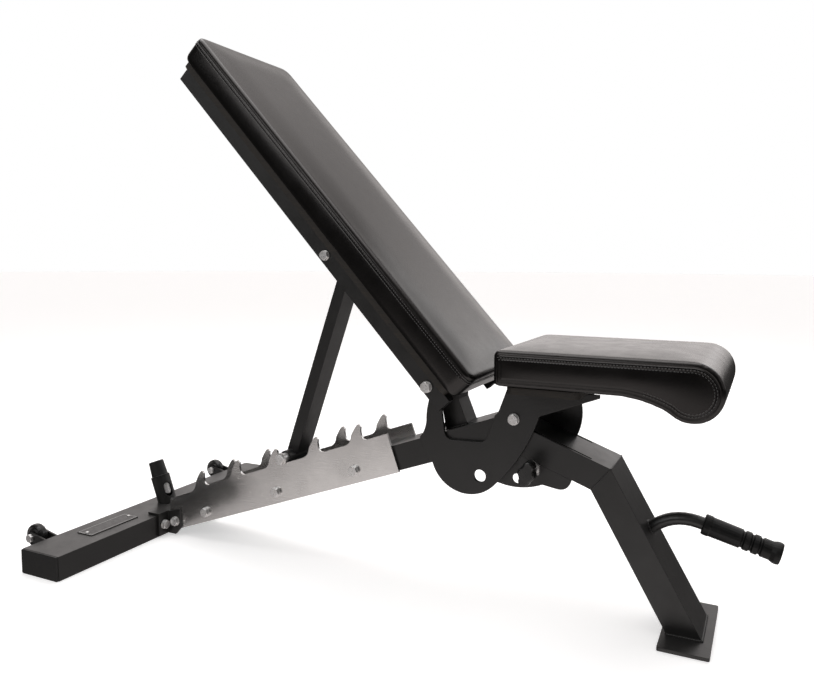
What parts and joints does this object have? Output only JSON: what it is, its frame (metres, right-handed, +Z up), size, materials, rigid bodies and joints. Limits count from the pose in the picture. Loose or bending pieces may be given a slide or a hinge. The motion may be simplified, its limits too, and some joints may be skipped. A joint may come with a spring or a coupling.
{
  "type": "adjustable weight bench",
  "caption": "Adjustable weight bench with a steel spine on a crossbar and a foot, toothed ladder for the backrest strut, tilting seat, rear wheels and a front lifting handle.",
  "frame": {"origin": "centre of the overall bounding box's base, on the floor", "axes": "+X from the rear crossbar to the front foot and handle, +Z up, +Y towards the far side away from the pull knob"},
  "size_m": [1.4642, 0.698, 1.0741],
  "materials": {
    "black_paint": "satin black powder coat",
    "brushed_stainless": "brushed along its length",
    "zinc_steel": "bright zinc plate",
    "black_vinyl": "grained black vinyl, stitched",
    "grip_rubber": "moulded soft black rubber",
    "cap_plastic": "moulded black plastic",
    "plate_plastic": "blank dark label plate",
    "wheel_plastic": "glossy black moulded wheel",
    "knob_plastic": "glossy black winged knob",
    "board": "black-stained plywood"
  },
  "bodies": {
    "frame": {"crossbar": "black_paint", "crossbar_cap_near": "cap_plastic", "crossbar_cap_far": "cap_plastic", "rear_bracket": "black_paint", "bracket_bolt_near": "zinc_steel", "bracket_bolt_far": "zinc_steel", "name_plate": "plate_plastic", "name_plate_rivet_1": "zinc_steel", "name_plate_rivet_2": "zinc_steel", "rear_post": "black_paint", "rear_post_cap": "cap_plastic", "post_window_insert": "zinc_steel", "wheel_fork_near": "black_paint", "wheel_axle_near": "zinc_steel", "wheel_fork_far": "black_paint", "wheel_axle_far": "zinc_steel", "main_beam": "black_paint", "ladder_plate_near": "brushed_stainless", "ladder_plate_far": "brushed_stainless", "ladder_bolt_1": "zinc_steel", "ladder_bolt_2": "zinc_steel", "ladder_bolt_3": "zinc_steel", "ladder_bolt_4": "zinc_steel", "side_plate_near": "black_paint", "side_plate_far": "black_paint", "hinge_post": "black_paint", "hinge_tube": "black_paint", "seat_pivot_bolt": "zinc_steel", "leg_upper": "black_paint", "leg_lower": "black_paint", "foot_plate": "black_paint", "handle_tube": "black_paint", "handle_grip": "grip_rubber", "pin_tab": "black_paint", "pin_housing": "zinc_steel"},
    "backrest": {"backrest_rail_near": "black_paint", "backrest_rail_far": "black_paint", "backrest_crossmember_1": "black_paint", "backrest_crossmember_2": "black_paint", "backrest_crossmember_3": "black_paint", "backrest_board": "board", "backrest_pad": "black_vinyl", "hinge_bolt_near": "zinc_steel", "hinge_bolt_far": "zinc_steel", "strut_pivot_rod": "zinc_steel"},
    "strut": {"strut": "black_paint", "strut_bar": "zinc_steel"},
    "seat": {"seat_selector": "black_paint", "seat_bracket_far": "black_paint", "seat_board": "board", "seat_pad": "black_vinyl"},
    "pin": {"lock_pin": "zinc_steel", "pull_knob": "knob_plastic"},
    "wheel_near": {"wheel_near": "wheel_plastic"},
    "wheel_far": {"wheel_far": "wheel_plastic"}
  },
  "joints": [
    {"name": "backrest_hinge", "type": "hinge", "parent": "frame", "child": "backrest", "pos_m": [0.14441, 0, 0.412], "axis": [0, 1, 0], "range_deg": [0, 42]},
    {"name": "strut_pivot", "type": "hinge", "parent": "backrest", "child": "strut", "pos_m": [-0.06807, 0, 0.64455], "axis": [0, 1, 0], "range_deg": [-34, 0.5]},
    {"name": "seat_hinge", "type": "hinge", "parent": "frame", "child": "seat", "pos_m": [0.28241, 0, 0.3515], "axis": [0, -1, 0], "range_deg": [0, 12]},
    {"name": "pin_slide", "type": "slide", "parent": "frame", "child": "pin", "axis": [0, -1, 0], "range_m": [0, 0.01], "stiffness_N_per_m": 600, "springref_m": -0.01},
    {"name": "wheel_near_spin", "type": "hinge", "parent": "frame", "child": "wheel_near", "pos_m": [-0.70659, -0.277, 0.045], "axis": [0, 1, 0], "continuous": true},
    {"name": "wheel_far_spin", "type": "hinge", "parent": "frame", "child": "wheel_far", "pos_m": [-0.70659, 0.277, 0.045], "axis": [0, 1, 0], "continuous": true}
  ],
  "couplings": [
    {"joint": "strut_pivot", "follows": "backrest_hinge", "ratio": -0.8}
  ]
}
